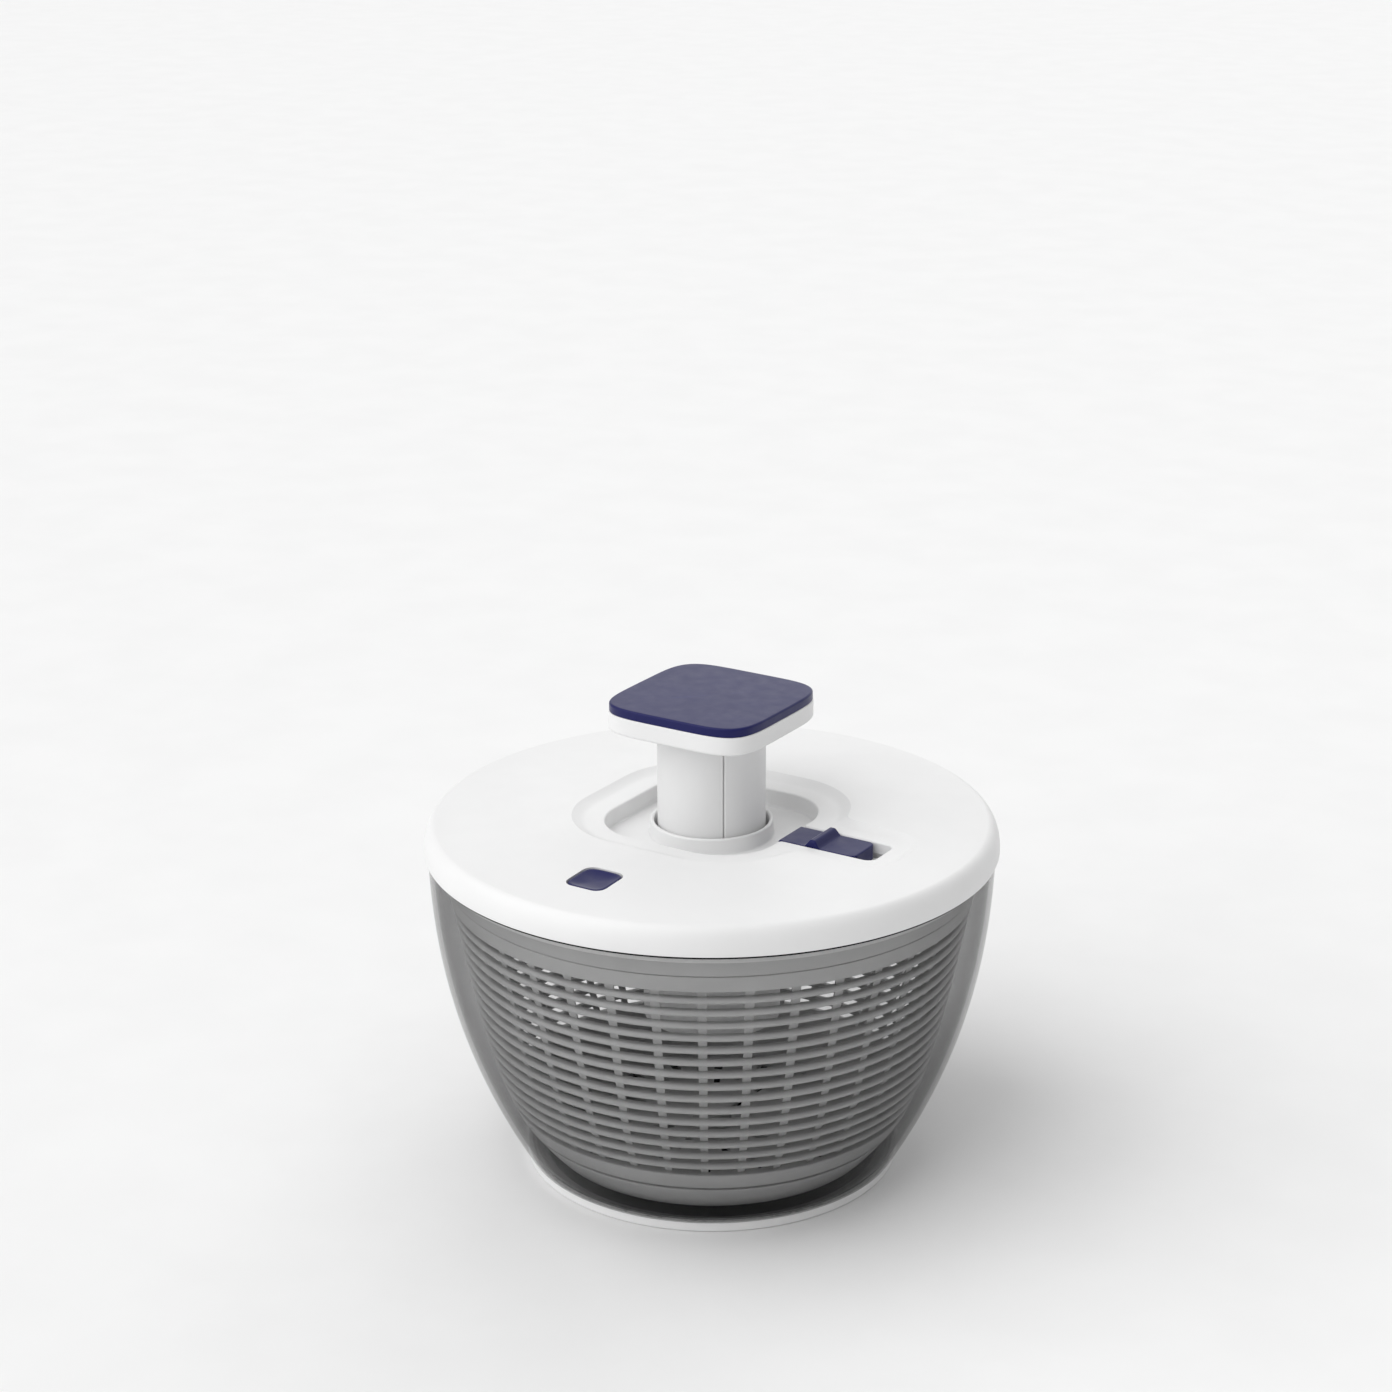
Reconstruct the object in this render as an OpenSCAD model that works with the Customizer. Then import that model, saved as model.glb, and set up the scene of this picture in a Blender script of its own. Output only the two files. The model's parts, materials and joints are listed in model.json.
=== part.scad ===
// Pump-action salad spinner: clear bowl on a white foot ring, slotted basket on a centre pivot,
// and a lift-off lid that holds the pump knob, twist rod, one-way drive, brake button and lock.
// Millimetres, +Z up. The origin is on the table, on the axis of the bowl.
// The lock slider lies towards +X and the brake button towards -Y.

/* [Bowl] */
// Height of the line where the lid meets the bowl
seam_z = 151.6; // [150.6:0.5:153.6]
// Outer radius of the bowl at that line
bowl_top_r = 128.3; // [128:0.1:128.6]
// How far the curve of the wall draws in towards the foot
bowl_curve = 40.24; // [39:0.1:41]
// How late the curve of the wall begins
bowl_power = 2.23; // [2.1:0.01:2.4]
// Straight taper of the wall from rim to foot
bowl_taper = 3.86; // [3.5:0.1:4.2]
// Thickness of the bowl's wall
bowl_wall = 2.2; // [1.8:0.1:2.4]

/* [Base] */
// Outer radius of the white foot ring
foot_r = 86.2; // [85.5:0.1:86.5]
// Height of the foot ring
foot_h = 4.8; // [4.6:0.1:5]
// Radius of the black non-slip mat
mat_r = 78; // [74:0.5:79]

/* [Basket] */
// Outer radius of the basket at its top
basket_top_r = 122.6; // [122:0.1:122.6]
// Straight taper of the basket's wall
basket_taper = 27.3; // [26:0.1:30]
// How far the wall tucks in at the bottom
basket_tuck = 17.4; // [16:0.1:20]
// Thickness of the basket's wall
basket_wall = 2.2; // [2:0.1:2.4]
// Number of upright columns of slots
column_count = 12; // [8:2:18]
// Number of rings between the bands
ring_count = 15; // [10:1:15]
// Height from one ring to the next
ring_pitch = 6.36; // [6:0.02:6.36]

/* [Lid] */
// Outer radius of the lid
lid_r = 130; // [129.6:0.1:131]
// Height of the middle of the lid above the table
lid_top_z = 168.5; // [168:0.1:169]
// Thickness of the lid's shell
lid_wall = 2.4; // [2:0.1:2.6]
// Half width of the dished square around the knob
dish_half = 57; // [56:0.5:59]
// Half width of the pocket that the knob drops into
pocket_half = 42; // [41:0.2:43]
// Corner radius of that pocket
pocket_corner = 24; // [18:0.5:25]
// Height of the pocket's floor above the table
pocket_z = 156; // [155.8:0.1:156.4]

/* [Knob] */
// Half width of the knob's square plate
knob_half = 37.9; // [36.5:0.1:38.5]
// Corner radius of the knob
knob_corner = 17; // [14:0.5:19]
// Height of the knob's top above the table when it is up
knob_top_z = 221.5; // [221:0.1:222]
// How far the knob pumps down
pump_travel = 52; // [50:0.5:52]
// Outer radius of the knob's sleeve
sleeve_r = 24.46; // [24.2:0.02:24.5]
// Height that the knob falls for one turn of the rod
rod_lead = 40; // [36:1:44]

/* [Lock and brake] */
// How far the lock slides in to hold the knob
lock_in = 2.6; // [2.2:0.1:2.6]
// How far the lock slides out along its free slot
lock_out = 8; // [7:0.5:8]
// Distance of the brake button from the axis
brake_y = 94; // [92:0.5:98]
// How far the brake button presses down
brake_travel = 2; // [1.5:0.1:2]

/* [Hidden] */
$fn = 96;
cut = 1;            // how far a cutting shape runs past a face
gap = 0.3;          // clearance between pieces that move past each other
running = 0.05;     // radial clearance of a shaft in its bearing

// Base and bowl
floor_bottom = 3;
floor_top = 5;
foot_inner_r = 83.7;
foot_floor = 2.6;
bowl_rim_z = seam_z - 1.1;
bowl_steps = 24;
boss_r = 8;
boss_top = 6.6;
pin_r = 3;
pin_top = 14.7;

// Basket
basket_z0 = 9;
basket_z1 = 151;
basket_floor_z = 7.6;
basket_rim_z = 149;
ring_z0 = 36.9;
slot_h = 2.9;
rib_span = 2;       // angle that a rib between two slots takes, in degrees
hub_r = 9;
bush_r = 5.5;
basket_hub_top = 17;
drive_count = 12;
drive_w = 8;

// Lid
edge_r = 124;
edge_z = 164.2;
edge_turn = 11.2;
base_top = seam_z + 1.6;
skirt_r = 125;
skirt_wall = 1.6;
skirt_z = 147;
dish_floor = 164.4;
dish_steps = 3;
dish_spread = 14;   // how much rounder the dish's outer corners are than the pocket's
tub_wall = 2.4;
tub_bottom = base_top + 0.4;
dish_back = 161.4;
collar_r = 28;
collar_top = 163.2;
bush_out = 26;
slot_end = 88.5;
slot_half = 10.4;
boss_ring_r = 105;

// Mechanism
housing_r = 28.8;
housing_z = 82;
cap_z = 79;
groove_w = 5;
lug_w = 4;
plate_top = knob_top_z - 4.3;
plate_bottom = plate_top - 8.5;
plate_inner_top = plate_top - 1.7;
sleeve_wall = 2.06;
sleeve_bottom = 146.4;
stop_bottom = 143;
nut_z = 146.5;
nut_h = 6;
rod_z = 92;
rod_top = 158;
rod_side = 7;
journal_r = 5;
twist_rate = 360 / rod_lead;
split_angle = -45;  // direction of the seam between the two halves of the sleeve
bar_z = 149.4;
bar_t = 1.6;
bar_half = 4;
window_low = bar_z - 0.4;               // window that holds the knob up
window_up = bar_z + pump_travel - 0.5;  // window that holds the knob down
window_h = 2.5;
window_half = 4.7;
stem_u = 60;
stem_half = 3;
stem_r = 2;
stem_slot_in = stem_u - stem_half - lock_in - 1;
stem_slot_out = stem_u + stem_half + lock_out + 1;

// Rotor
cup_r = 31.4;
cup_wall = 2;
cup_floor = 68;
cup_floor_t = 3;
disc_z = 145.6;
disc_t = 1.8;
disc_r = 118.3;
disc_flange_r = 115.6;

// One-way drive
hub_r_out = 9;
ratchet_z = 72;
ratchet_h = 6;
ratchet_r = 21;
tooth_r = 16.6;
tooth_depth = 2;
tooth_count = 24;
pawl_z = 73.5;
pawl_h = 4;

// Outer radius of the bowl at height z
function bowl_r(z) = bowl_top_r - bowl_curve * pow(1 - z / seam_z, bowl_power)
    - bowl_taper * (1 - z / seam_z);

// Outer radius of the basket's wall at height z
function depth(z) = (basket_z1 - z) / (basket_z1 - basket_z0);
function basket_r(z) = basket_top_r - basket_taper * depth(z) - basket_tuck * pow(depth(z), 6);

// Height of the lid's outside at radius r, on the dome
function dome_z(r) = edge_z + (lid_top_z - edge_z) * (1 - pow(r / edge_r, 2.4));

// Height of the dished band's terrace number i, counted outwards from the pocket
function terrace_z(i) = dish_floor + 3.7 * pow((i - 0.5) / dish_steps, 1.6);

// A flat rectangle with round corners, centred, given by its half sizes
module soft_rect(half_x, half_y, corner) {
    square([2 * half_x, 2 * (half_y - corner)], center = true);
    square([2 * (half_x - corner), 2 * half_y], center = true);
    for (x = [-1, 1], y = [-1, 1])
        translate([x * (half_x - corner), y * (half_y - corner)])
            circle(r = corner);
}

// A ring from radius a to radius b, height h, standing at z
module ring(a, b, z, h) {
    translate([0, 0, z])
        difference() {
            cylinder(r = b, h = h);
            translate([0, 0, -cut])
                cylinder(r = a, h = h + 2 * cut);
        }
}

// A slab of a soft rectangle from z up by h
module slab(half_x, half_y, corner, z, h) {
    translate([0, 0, z])
        linear_extrude(h)
            soft_rect(half_x, half_y, corner);
}

// Points of a helix with its tube's rings, for a round-wire compression spring
function coil_ring(r, wire, angle, z, sides) = [for (k = [0:sides - 1])
    let (a = 360 * k / sides)
    [(r + wire * cos(a)) * cos(angle), (r + wire * cos(a)) * sin(angle), z + wire * sin(a)]];

// A compression spring of mean radius r and wire radius wire, from z = low to z = high
module coil(r, wire, low, high, turns, per_turn = 14, sides = 6) {
    steps = turns * per_turn;
    rise = high - low - 2 * wire;
    points = [for (i = [0:steps]) each coil_ring(r, wire, 360 * i / per_turn, low + wire + rise * i / steps, sides)];
    sides_faces = [for (i = [0:steps - 1], k = [0:sides - 1])
        [i * sides + k, (i + 1) * sides + k, (i + 1) * sides + (k + 1) % sides, i * sides + (k + 1) % sides]];
    ends = [[for (k = [0:sides - 1]) k], [for (k = [sides - 1:-1:0]) steps * sides + k]];
    polyhedron(points, concat(sides_faces, ends));
}

// ---- Base and bowl ----

module bowl() {
    outside = [for (i = [0:bowl_steps])
        let (z = foot_h + (bowl_rim_z - foot_h) * i / bowl_steps) [bowl_r(z), z]];
    inside = [for (i = [bowl_steps:-1:0])
        let (z = floor_top + (bowl_rim_z - floor_top) * i / bowl_steps) [bowl_r(z) - bowl_wall, z]];
    foot = [[0, floor_bottom], [foot_inner_r - gap, floor_bottom], [foot_inner_r - gap, foot_h]];
    color([0.62, 0.62, 0.64, 0.4])
        difference() {
            union() {
                rotate_extrude()
                    polygon(concat(foot, outside, inside, [[0, floor_top]]));
                translate([0, 0, floor_top - cut])
                    cylinder(r = boss_r, h = boss_top - floor_top + cut);
            }
            translate([0, 0, floor_bottom + 1])
                cylinder(r = pin_r, h = boss_top);
        }
}

module foot_ring() {
    color([0.9, 0.9, 0.9])
        rotate_extrude()
            polygon([[mat_r + 1.2, 0], [foot_r - 0.6, 0], [foot_r, 0.8], [foot_r, foot_h - 0.8],
                [foot_r - 0.5, foot_h], [foot_inner_r, foot_h], [foot_inner_r, foot_floor],
                [mat_r + 1.2, foot_floor]]);
}

module grip_ring() {
    color([0.35, 0.35, 0.36])
        ring(mat_r - 0.6, foot_inner_r, foot_floor, floor_bottom - foot_floor);
}

module non_slip_mat() {
    color([0.05, 0.05, 0.05]) {
        ring(mat_r - 12, mat_r + 1.2, 0, foot_floor);
        translate([0, 0, 1])
            cylinder(r = mat_r - 12, h = foot_floor - 1);
    }
}

module pivot_pin() {
    color([0.75, 0.76, 0.78]) {
        translate([0, 0, floor_bottom + 1])
            cylinder(r = pin_r, h = pin_top - 1 - floor_bottom - 1);
        translate([0, 0, pin_top - 1])
            cylinder(r1 = pin_r, r2 = pin_r - 1, h = 1);
    }
}

// ---- Basket ----

// One upright row of slots, cut right through the wall between two ribs
module slot_comb(span) {
    rotate_extrude(angle = span)
        for (i = [0:ring_count]) {
            z = ring_z0 + ring_pitch * (i - 0.5);
            translate([basket_r(z) - basket_wall - 2, z - slot_h / 2])
                square([basket_wall + 5, slot_h]);
        }
}

// Outline of one ring that stands out of the wall, at height z
function ring_bump(z) = let (h = ring_pitch - slot_h) [
    [basket_r(z) - 1, z - h / 2], [basket_r(z), z - h / 4], [basket_r(z), z + h / 4], [basket_r(z) - 1, z + h / 2]];

// The solid of revolution of the basket before its slots are cut
module basket_body() {
    z_low = basket_floor_z;
    z_slots = ring_z0 - ring_pitch;
    z_top = ring_z0 + ring_pitch * ring_count;
    low_band = [for (z = [z_low, 10, 14, 18, 22.4]) [basket_r(z), z]];
    mid_band = [for (z = [22.6, 26, z_slots + 1.4]) [basket_r(z) + 0.5, z]];
    rings = [for (i = [0:ring_count - 1]) each ring_bump(ring_z0 + ring_pitch * i)];
    top_band = [for (z = [z_top - 1.4, 138.6]) [basket_r(z) + 0.2, z]];
    rim_band = [for (z = [138.8, basket_rim_z]) [basket_r(z) + 0.5, z]];
    wall_in = [for (z = [basket_rim_z, 130, 100, 70, 50, 36, 26, 18, 12, 9.6]) [basket_r(z) - basket_wall - 0.6, z]];
    rotate_extrude()
        polygon(concat([[0, z_low]], low_band, mid_band, rings, top_band, rim_band, wall_in,
            [[hub_r, 9.6], [hub_r, basket_hub_top], [0, basket_hub_top]]));
}

module basket() {
    pitch = 360 / column_count;
    color([0.6, 0.6, 0.6])
        difference() {
            basket_body();
            for (i = [0:column_count - 1])
                rotate([0, 0, i * pitch + rib_span / 2])
                    slot_comb(pitch - rib_span);
            for (i = [0:drive_count - 1])
                rotate([0, 0, 360 * i / drive_count])
                    translate([disc_r - 4, -drive_w / 2 - 0.4, disc_z])
                        cube([14, drive_w + 0.8, 10]);
            for (r = [[24, 8], [44, 12], [62, 18]], i = [0:r[1] - 1])
                rotate([0, 0, 360 * i / r[1]])
                    translate([r[0] - 6, -1.6, basket_floor_z - cut])
                        cube([12, 3.2, 4]);
            cylinder(r = bush_r, h = basket_hub_top - 1);
        }
}

module basket_bush() {
    color([0.85, 0.85, 0.82])
        difference() {
            translate([0, 0, basket_floor_z - 0.6])
                cylinder(r = bush_r, h = basket_hub_top - 1 - basket_floor_z + 0.6);
            cylinder(r = pin_r + running, h = pin_top + 0.2);
        }
}

// ---- Lid ----

// Profile of the lid's shell: outside from the seam over the rounded edge to the axis, then back inside
lid_outside = concat([[lid_r, seam_z]],
    [for (a = [0:16:80]) [edge_r + (lid_r - edge_r) * cos(a), edge_z + edge_turn * (sin(a) - 1)]],
    [for (r = [edge_r, 108, 92, 76, 60, 40, 0]) [r, dome_z(r)]]);
lid_inside = concat([[lid_r - lid_wall, seam_z]],
    [for (a = [0:16:64]) [edge_r - lid_wall + (lid_r - edge_r) * cos(a),
        edge_z - lid_wall + (edge_turn - lid_wall) * (sin(a) - 1)]],
    [for (r = [edge_r - lid_wall, 108, 92, 76, 60, 40, 0]) [r, dome_z(r) - lid_wall]]);

// The dished band around a pocket, cut as shallow terraces that step down towards the pocket
module dish(outer, inner, corner) {
    for (i = [1:dish_steps]) {
        t = i / dish_steps;
        half = inner + (outer - inner) * t;
        slab(half, half, corner + dish_spread * t, terrace_z(i), 20);
    }
}

// The slot that the lock's stem moves in, through the pocket's floor and the inner lid
module stem_slot() {
    translate([stem_slot_in, -stem_r - 0.6, seam_z - cut])
        cube([stem_slot_out - stem_slot_in, 2 * stem_r + 1.2, 10]);
}

// The solid of the lid's cover before the pocket, slot and holes are cut
module lid_blank() {
    slot_mid = slot_end / 2;
    rotate_extrude()
        polygon(concat(lid_outside, [for (i = [len(lid_inside) - 1:-1:0]) lid_inside[i]]));
    slab(dish_half + 2, dish_half + 2, 24, dish_back, 165.5 - dish_back);
    slab(pocket_half + tub_wall, pocket_half + tub_wall, pocket_corner + tub_wall, tub_bottom, 163 - tub_bottom);
    translate([slot_mid + 8, 0, 0])
        slab(slot_mid + 8, 27, 12, dish_back, 164 - dish_back);
    translate([slot_mid, 0, 0])
        slab(slot_mid + tub_wall, slot_half + 1.4 + tub_wall, 6, tub_bottom, 162.5 - tub_bottom);
    for (i = [0:3])
        rotate([0, 0, 45 + 90 * i])
            translate([boss_ring_r, 0, base_top])
                cylinder(r = 4, h = 10.2);
}

module lid_cover() {
    color([0.93, 0.93, 0.93])
        difference() {
            lid_blank();
            dish(dish_half, pocket_half, pocket_corner);
            for (i = [1:dish_steps])
                translate([0, -slot_half - 4.6 * i, terrace_z(i)])
                    cube([slot_end + 4.6 * i, 2 * slot_half + 9.2 * i, 20]);
            difference() {
                slab(pocket_half, pocket_half, pocket_corner, pocket_z, 20);
                translate([0, 0, pocket_z - cut])
                    cylinder(r = collar_r, h = collar_top - pocket_z + cut);
            }
            translate([slot_end / 2 + 16, 0, 0])
                slab(slot_end / 2 - 16, slot_half, 5, pocket_z, 20);
            translate([(41 + slot_end) / 2, 0, 157.6])
                cube([slot_end - 41, 2 * slot_half + 2.4, 2.6], center = true);
            stem_slot();
            translate([0, -brake_y, 0])
                slab(9.9, 10.4, 4.8, 150, 30);
            cylinder(r = bush_out, h = 200);
            for (i = [0:3])
                rotate([0, 0, 45 + 90 * i])
                    translate([boss_ring_r, 0, base_top - cut])
                        cylinder(r = 1.55, h = 9);
        }
}

module lid_base() {
    color([0.86, 0.86, 0.86])
        difference() {
            union() {
                translate([0, 0, seam_z])
                    cylinder(r = lid_r - lid_wall - 0.3, h = base_top - seam_z);
                ring(skirt_r - skirt_wall, skirt_r, skirt_z, seam_z - skirt_z + 0.4);
                translate([0, 0, housing_z])
                    cylinder(r = housing_r, h = base_top - housing_z);
            }
            translate([0, 0, housing_z - cut])
                cylinder(r = bush_out, h = 120);
            for (i = [0, 1])
                rotate([0, 0, 90 + 180 * i])
                    translate([bush_out - 2, -groove_w / 2, housing_z - cut])
                        cube([3.6, groove_w, sleeve_bottom + gap - housing_z + cut]);
            translate([20, -window_half, window_low])
                cube([20, 2 * window_half, window_h]);
            stem_slot();
            translate([0, -brake_y, seam_z - cut])
                cylinder(r = 3.4, h = 6);
            for (i = [0:3])
                rotate([0, 0, 45 + 90 * i])
                    translate([boss_ring_r, 0, seam_z - cut])
                        cylinder(r = 1.7, h = 6);
        }
}

module lid_seal() {
    color([0.04, 0.04, 0.04])
        ring(skirt_r, lid_r - 0.9, bowl_rim_z, seam_z - bowl_rim_z);
}

module lid_screws() {
    color([0.7, 0.7, 0.72])
        for (i = [0:3])
            rotate([0, 0, 45 + 90 * i])
                translate([boss_ring_r, 0, 0])
                    difference() {
                        union() {
                            translate([0, 0, seam_z - 1.5])
                                cylinder(r = 3.2, h = 1.5);
                            translate([0, 0, seam_z])
                                cylinder(r = 1.5, h = 8.5);
                        }
                        translate([-2, -0.3, seam_z - 2])
                            cube([4, 0.6, 1.3]);
                        translate([-0.3, -2, seam_z - 2])
                            cube([0.6, 4, 1.3]);
                    }
}

module guide_bush() {
    color([0.9, 0.9, 0.9])
        ring(sleeve_r + gap, bush_out, 151.6, 5);
}

module housing_cap() {
    color([0.8, 0.8, 0.8]) {
        ring(journal_r + running, housing_r, cap_z, housing_z - cap_z);
        ring(bush_out - 1.8, bush_out - 0.1, housing_z, 3);
    }
}

module thrust_washer() {
    color([0.72, 0.73, 0.75])
        ring(journal_r + running, 8.5, housing_z, 0.6);
}

module return_spring() {
    color([0.66, 0.67, 0.7])
        coil(21.3, 0.6, housing_z, stop_bottom, 8);
}

module slider_leaf_spring() {
    color([0.72, 0.73, 0.75])
        translate([0, 9, 0])
            rotate([90, 0, 0])
                linear_extrude(3)
                    polygon([[60, pocket_z], [73, pocket_z], [73, pocket_z + 0.4], [69, pocket_z + 0.4],
                        [66.5, pocket_z + 0.9], [64, pocket_z + 0.4], [60, pocket_z + 0.4]]);
}

// ---- Knob and plunger ----

module knob_pad() {
    color([0.13, 0.14, 0.32])
        slab(knob_half - 0.27, knob_half - 0.27, knob_corner, plate_top, knob_top_z - plate_top);
}

module knob_plate() {
    color([0.93, 0.93, 0.93])
        difference() {
            slab(knob_half, knob_half, knob_corner, plate_bottom, plate_top - plate_bottom);
            difference() {
                slab(knob_half - 2.4, knob_half - 2.4, knob_corner - 2.4, plate_bottom - cut,
                    plate_inner_top - plate_bottom + cut);
                ring(sleeve_r + 0.05, sleeve_r + 1.2, plate_inner_top - 3, 4);
            }
            at_knob_screws()
                translate([0, 0, plate_top - 6])
                    cylinder(r = 1.6, h = 10);
            at_knob_screws()
                translate([0, 0, plate_top - 1.1])
                    cylinder(r = 2.9, h = 10);
        }
}

// Places of the four screws that hold the plate on the sleeve's halves
module at_knob_screws() {
    for (a = [split_angle + 55, split_angle + 125, split_angle + 235, split_angle + 305])
        rotate([0, 0, a])
            translate([19.6, 0, 0])
                children();
}

module knob_screws() {
    color([0.7, 0.7, 0.72])
        at_knob_screws() {
            translate([0, 0, plate_top - 1.1])
                cylinder(r = 2.7, h = 1);
            translate([0, 0, plate_top - 8.4])
                cylinder(r = 1.4, h = 7.4);
        }
}

// The sleeve's half on one side of the seam; side is 1 or -1
module sleeve_half(side) {
    color([0.92, 0.92, 0.92])
        difference() {
            union() {
                ring(sleeve_r - sleeve_wall, sleeve_r, sleeve_bottom, plate_inner_top - sleeve_bottom);
                ring(sleeve_r - sleeve_wall - 2, sleeve_r - sleeve_wall + 0.5, nut_z + nut_h + 0.1, 1.6);
                at_knob_screws()
                    translate([0, 0, plate_inner_top - 9])
                        cylinder(r = 3, h = 9);
            }
            at_knob_screws()
                translate([0, 0, plate_inner_top - 8])
                    cylinder(r = 1.42, h = 9);
            rotate([0, 0, split_angle])
                translate([-60, side > 0 ? -60 : -0.05, 100])
                    cube([120, 60.05, 150]);
            for (z = [window_up, window_low])
                translate([15, -window_half, z])
                    cube([20, 2 * window_half, window_h]);
        }
}

module sleeve_front() {
    sleeve_half(-1);
}

module sleeve_rear() {
    sleeve_half(1);
}

module stop_ring() {
    color([0.85, 0.85, 0.85])
        difference() {
            union() {
                translate([0, 0, stop_bottom])
                    cylinder(r = bush_out - 0.4, h = sleeve_bottom - stop_bottom);
                for (i = [0, 1])
                    rotate([0, 0, 90 + 180 * i])
                        translate([20, -lug_w / 2, stop_bottom])
                            cube([7.2, lug_w, sleeve_bottom - stop_bottom]);
            }
            translate([0, 0, stop_bottom - cut])
                cylinder(r = 16, h = 10);
        }
}

module drive_nut() {
    color([0.8, 0.78, 0.7])
        difference() {
            translate([0, 0, nut_z])
                cylinder(r = sleeve_r - sleeve_wall - 0.1, h = nut_h);
            translate([0, 0, nut_z])
                rotate([0, 0, twist_rate * (nut_z - rod_z)])
                    linear_extrude(nut_h, twist = -twist_rate * nut_h, slices = 6, $fn = 4)
                        square(rod_side + 0.8, center = true);
            translate([19, -window_half - 1, nut_z - cut])
                cube([10, 2 * window_half + 2, nut_h + 2 * cut]);
        }
}

// ---- Twist rod and one-way drive ----

module twist_rod() {
    color([0.78, 0.79, 0.8]) {
        translate([0, 0, rod_z])
            linear_extrude(rod_top - rod_z, twist = -twist_rate * (rod_top - rod_z), slices = 48, $fn = 4)
                square(rod_side, center = true);
        difference() {
            union() {
                translate([0, 0, cup_floor + cup_floor_t])
                    cylinder(r = journal_r, h = rod_z - cup_floor - cup_floor_t + 0.5);
                translate([0, 0, housing_z + 0.9])
                    cylinder(r = 8, h = 2);
                translate([0, 0, cup_floor - 0.4])
                    cylinder(r = 4, h = cup_floor_t + 1);
            }
            translate([0, 0, cup_floor - cut])
                cylinder(r = 1.5, h = 14);
        }
    }
}

module ratchet_hub() {
    color([0.85, 0.83, 0.75])
        difference() {
            union() {
                translate([0, 0, ratchet_z])
                    cylinder(r = hub_r_out, h = ratchet_h);
                for (i = [0, 1])
                    rotate([0, 0, 180 * i])
                        translate([hub_r_out - 1.4, 0, ratchet_z])
                            cylinder(r = 3, h = pawl_z - ratchet_z - 0.1);
            }
            translate([0, 0, ratchet_z - cut])
                cylinder(r = journal_r, h = ratchet_h + 2 * cut);
        }
}

module ratchet_pawls() {
    color([0.45, 0.46, 0.5])
        for (i = [0, 1])
            rotate([0, 0, 180 * i])
                translate([0, 0, pawl_z])
                    linear_extrude(pawl_h)
                        polygon([[9.2, -2], [11, -2.6], [15.4, 5], [14.6, 6.2], [9.6, 1.4]]);
}

module rotor_washer() {
    color([0.72, 0.73, 0.75])
        ring(1.6, 9, cup_floor - 1.4, 1);
}

module rotor_screw() {
    color([0.7, 0.7, 0.72])
        difference() {
            union() {
                translate([0, 0, cup_floor - 3.2])
                    cylinder(r = 4.2, h = 1.8);
                translate([0, 0, cup_floor - 1.4])
                    cylinder(r = 1.48, h = 13);
            }
            translate([-3, -0.4, cup_floor - 3.6])
                cube([6, 0.8, 1.4]);
            translate([-0.4, -3, cup_floor - 3.6])
                cube([0.8, 6, 1.4]);
        }
}

module rotor_cup() {
    color([0.88, 0.88, 0.88])
        difference() {
            translate([0, 0, cup_floor])
                cylinder(r = cup_r, h = disc_z + disc_t - cup_floor);
            translate([0, 0, cup_floor + cup_floor_t])
                cylinder(r = cup_r - cup_wall, h = 100);
            translate([0, 0, cup_floor - cut])
                cylinder(r = 4 + running, h = 10);
        }
}

module ratchet_ring() {
    tooth = 360 / tooth_count;
    color([0.8, 0.78, 0.7])
        translate([0, 0, cup_floor + cup_floor_t])
            linear_extrude(ratchet_h + 1)
                difference() {
                    circle(r = ratchet_r);
                    polygon([for (i = [0:tooth_count - 1]) each [
                        (tooth_r + tooth_depth) * [cos(tooth * i), sin(tooth * i)],
                        tooth_r * [cos(tooth * (i + 0.9)), sin(tooth * (i + 0.9))]]]);
                }
}

module rotor_disc() {
    color([0.85, 0.87, 0.88])
        difference() {
            union() {
                translate([0, 0, disc_z])
                    cylinder(r = disc_r, h = disc_t);
                ring(disc_flange_r - 2, disc_flange_r, disc_z - 6, 7);
                ring(cup_r, cup_r + 1.8, disc_z - 8, 9);
                for (i = [0:drive_count - 1])
                    rotate([0, 0, 360 * i / drive_count])
                        translate([disc_r - 3, -drive_w / 2, disc_z + 0.4])
                            cube([6, drive_w, disc_t - 0.4]);
            }
            translate([0, 0, disc_z - 10])
                cylinder(r = cup_r, h = 20);
        }
}

// ---- Lock ----

module lock_slider() {
    inner = 40.8;
    outer = 79.3;
    top = 163.9;
    ridge = 57.8;
    color([0.13, 0.14, 0.32]) {
        translate([(inner + outer) / 2, 0, 0])
            slab((outer - inner) / 2, 9.9, 3.4, pocket_z + 1.2, top - pocket_z - 1.2);
        translate([inner, -9.9, pocket_z + 1.2])
            cube([6, 19.8, top - pocket_z - 1.2]);
        translate([(inner + outer) / 2, 0, pocket_z + 1.7])
            cube([outer - inner - 8, 2 * slot_half + 1.6, 1], center = true);
        translate([0, 9, 0])
            rotate([90, 0, 0])
                linear_extrude(18)
                    polygon([[ridge - 3.8, top - 0.1], [ridge + 3.8, top - 0.1], [ridge + 0.9, top + 3.2],
                        [ridge - 0.9, top + 3.2]]);
        translate([stem_u - stem_half, -stem_r, bar_z + bar_t])
            cube([2 * stem_half, 2 * stem_r, 8]);
        translate([stem_u, 0, bar_z])
            cylinder(r = 1.2, h = 4);
    }
}

module latch_bar() {
    tip = sleeve_r + 0.6;
    color([0.75, 0.76, 0.78])
        difference() {
            translate([tip, -bar_half, bar_z])
                cube([stem_u + 5 - tip, 2 * bar_half, bar_t]);
            translate([stem_u, 0, bar_z - cut])
                cylinder(r = 1.2, h = 5);
        }
}

// ---- Brake ----

module brake_button() {
    top = dome_z(brake_y) - 0.2;
    color([0.13, 0.14, 0.32])
        translate([0, -brake_y, 0])
            difference() {
                union() {
                    slab(9.5, 10, 4.6, 158, top - 158);
                    slab(11.4, 11.9, 5.4, 158, 2.4);
                    translate([0, 0, 151])
                        cylinder(r = 3, h = 8);
                }
                translate([0, 0, top + 30])
                    sphere(r = 31.2);
            }
}

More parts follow.
